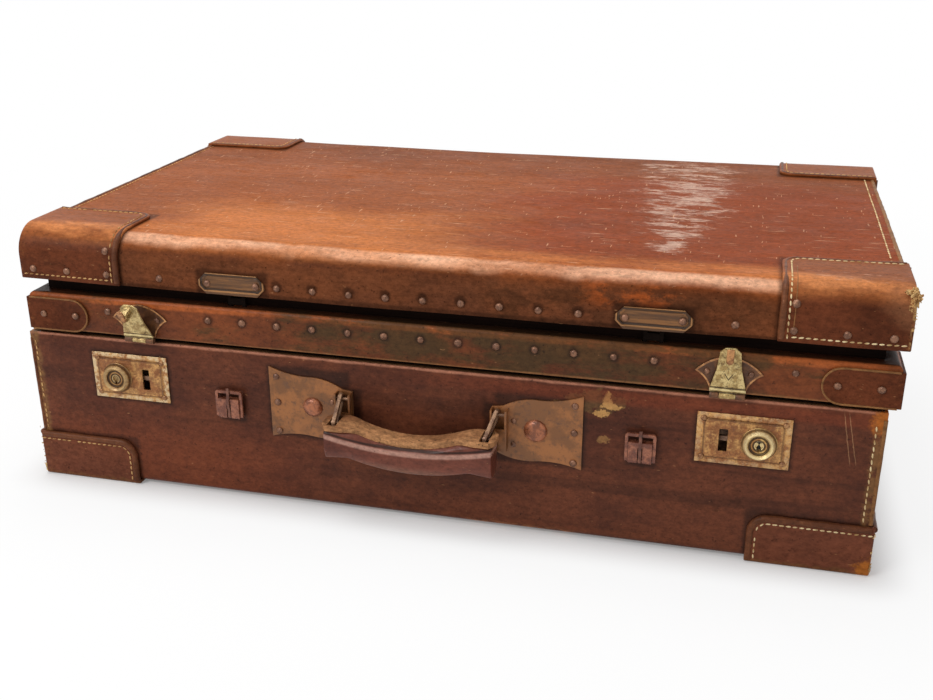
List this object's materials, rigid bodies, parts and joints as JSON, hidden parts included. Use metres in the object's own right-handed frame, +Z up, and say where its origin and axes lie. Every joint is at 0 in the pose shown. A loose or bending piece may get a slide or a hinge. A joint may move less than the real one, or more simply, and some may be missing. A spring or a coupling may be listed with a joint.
{
  "type": "expanding leather suitcase",
  "caption": "Stitched leather suitcase with an expanding lid on notched racks, corner caps, hasps, spring locks, strap buckles and a carrying handle.",
  "frame": {"origin": "on the floor, under the middle of the whole object's bounding box", "axes": "+X along the case's length to the viewer's right, -Y towards the front with the handle, +Z up"},
  "size_m": [0.6608, 0.4284, 0.2124],
  "materials": {
    "case_leather": "aged, scuffed",
    "corner_leather": "aged, stitched",
    "grip_leather": "worn, polished by use",
    "raw_leather": "raw, worn through",
    "fibre_board": "plain",
    "rim_wood": "plain",
    "lining_cloth": "plain weave",
    "old_brass": "tarnished",
    "pale_brass": "worn bright",
    "copper": "worn",
    "steel": "dull",
    "japanned": "japanned, chipped",
    "rivet_steel": "browned"
  },
  "bodies": {
    "base": {"base_board": "fibre_board", "base_wrap": "case_leather", "base_end_left": "case_leather", "base_end_right": "case_leather", "base_rim": "rim_wood", "base_lining": "lining_cloth", "base_caps_front": "corner_leather", "base_caps_back": "corner_leather", "lock_plate_left": "old_brass", "lock_plate_right": "old_brass", "lock_cases": "steel", "lock_rivets": "rivet_steel", "lock_spring_left": "steel", "lock_spring_right": "steel", "handle_plate_left": "old_brass", "handle_plate_right": "old_brass", "base_rivets": "rivet_steel", "handle_bosses": "copper", "handle_pins": "steel", "buckle_chapes": "japanned", "hinge_lower_leaves": "old_brass", "hinge_pins": "steel"},
    "lid_frame": {"frame_board": "fibre_board", "frame_leather": "case_leather", "frame_inner_wall": "fibre_board", "frame_patches": "corner_leather", "frame_rivets": "rivet_steel", "hasp_plates": "old_brass", "hasp_pins": "steel", "hinge_upper_leaves": "old_brass", "catch_housings": "steel"},
    "lid_shell": {"shell_board": "fibre_board", "shell_wrap": "case_leather", "shell_end_left": "case_leather", "shell_end_right": "case_leather", "shell_lining": "lining_cloth", "lid_caps_front": "corner_leather", "lid_caps_back": "corner_leather", "shell_rivets": "rivet_steel", "anchor_plates": "old_brass", "racks": "steel"},
    "left_lock_slide": {"lock_knob_left": "old_brass", "lock_bolt_left": "steel"},
    "right_lock_slide": {"lock_knob_right": "old_brass", "lock_bolt_right": "steel"},
    "left_hasp": {"hasp_left": "pale_brass"},
    "right_hasp": {"hasp_right": "pale_brass"},
    "left_link": {"link_left": "pale_brass"},
    "right_link": {"link_right": "pale_brass"},
    "handle_grip": {"grip": "grip_leather", "grip_strap": "raw_leather", "grip_pins": "steel"},
    "left_buckle": {"buckle_frame_left": "japanned"},
    "right_buckle": {"buckle_frame_right": "japanned"},
    "left_prong": {"buckle_prong_left": "steel"},
    "right_prong": {"buckle_prong_right": "steel"},
    "catch_front_left": {"catch_bolt_front_left": "steel"},
    "catch_front_right": {"catch_bolt_front_right": "steel"},
    "catch_back_left": {"catch_bolt_back_left": "steel"},
    "catch_back_right": {"catch_bolt_back_right": "steel"}
  },
  "joints": [
    {"name": "lid_open", "type": "hinge", "parent": "base", "child": "lid_frame", "pos_m": [0, 0.21121, 0.128], "axis": [-1, 0, 0], "range_deg": [0, 105]},
    {"name": "lid_expand", "type": "slide", "parent": "lid_frame", "child": "lid_shell", "axis": [0, 0, 1], "range_m": [-0.009, 0.018]},
    {"name": "handle_links", "type": "hinge", "parent": "base", "child": "left_link", "pos_m": [0, -0.18774, 0.098], "axis": [-1, 0, 0], "range_deg": [0, 94]},
    {"name": "handle_links_right", "type": "hinge", "parent": "base", "child": "right_link", "pos_m": [0, -0.18774, 0.098], "axis": [-1, 0, 0], "range_deg": [0, 94]},
    {"name": "handle_swing", "type": "hinge", "parent": "left_link", "child": "handle_grip", "pos_m": [0, -0.20271, 0.08474], "axis": [-1, 0, 0], "range_deg": [0, 86]},
    {"name": "left_hasp_fold", "type": "hinge", "parent": "lid_frame", "child": "left_hasp", "pos_m": [-0.2275, -0.18539, 0.129], "axis": [1, 0, 0], "range_deg": [-22, 158]},
    {"name": "right_hasp_fold", "type": "hinge", "parent": "lid_frame", "child": "right_hasp", "pos_m": [0.2165, -0.18539, 0.129], "axis": [1, 0, 0], "range_deg": [0, 180]},
    {"name": "left_lock_slide_out", "type": "slide", "parent": "base", "child": "left_lock_slide", "axis": [-1, 0, 0], "range_m": [0, 0.0065], "stiffness_N_per_m": 300, "springref_m": -0.003, "deforming": ["lock_spring_left"]},
    {"name": "right_lock_slide_out", "type": "slide", "parent": "base", "child": "right_lock_slide", "axis": [1, 0, 0], "range_m": [0, 0.0065], "stiffness_N_per_m": 300, "springref_m": -0.003, "deforming": ["lock_spring_right"]},
    {"name": "left_buckle_swing", "type": "hinge", "parent": "base", "child": "left_buckle", "pos_m": [-0.1565, -0.18539, 0.0725], "axis": [1, 0, 0], "range_deg": [0, 172]},
    {"name": "left_prong_swing", "type": "hinge", "parent": "left_buckle", "child": "left_prong", "pos_m": [-0.1565, -0.18539, 0.0725], "axis": [-1, 0, 0], "range_deg": [-165, 0]},
    {"name": "right_buckle_swing", "type": "hinge", "parent": "base", "child": "right_buckle", "pos_m": [0.16, -0.18539, 0.0725], "axis": [1, 0, 0], "range_deg": [0, 172]},
    {"name": "right_prong_swing", "type": "hinge", "parent": "right_buckle", "child": "right_prong", "pos_m": [0.16, -0.18539, 0.0725], "axis": [-1, 0, 0], "range_deg": [-165, 0]},
    {"name": "catch_front_left_push", "type": "slide", "parent": "lid_frame", "child": "catch_front_left", "axis": [0, -1, 0], "range_m": [0, 0.0022]},
    {"name": "catch_front_right_push", "type": "slide", "parent": "lid_frame", "child": "catch_front_right", "axis": [0, -1, 0], "range_m": [0, 0.0022]},
    {"name": "catch_back_left_push", "type": "slide", "parent": "lid_frame", "child": "catch_back_left", "axis": [0, 1, 0], "range_m": [0, 0.0022]},
    {"name": "catch_back_right_push", "type": "slide", "parent": "lid_frame", "child": "catch_back_right", "axis": [0, 1, 0], "range_m": [0, 0.0022]}
  ],
  "couplings": [
    {"joint": "handle_links_right", "follows": "handle_links", "ratio": 1}
  ]
}
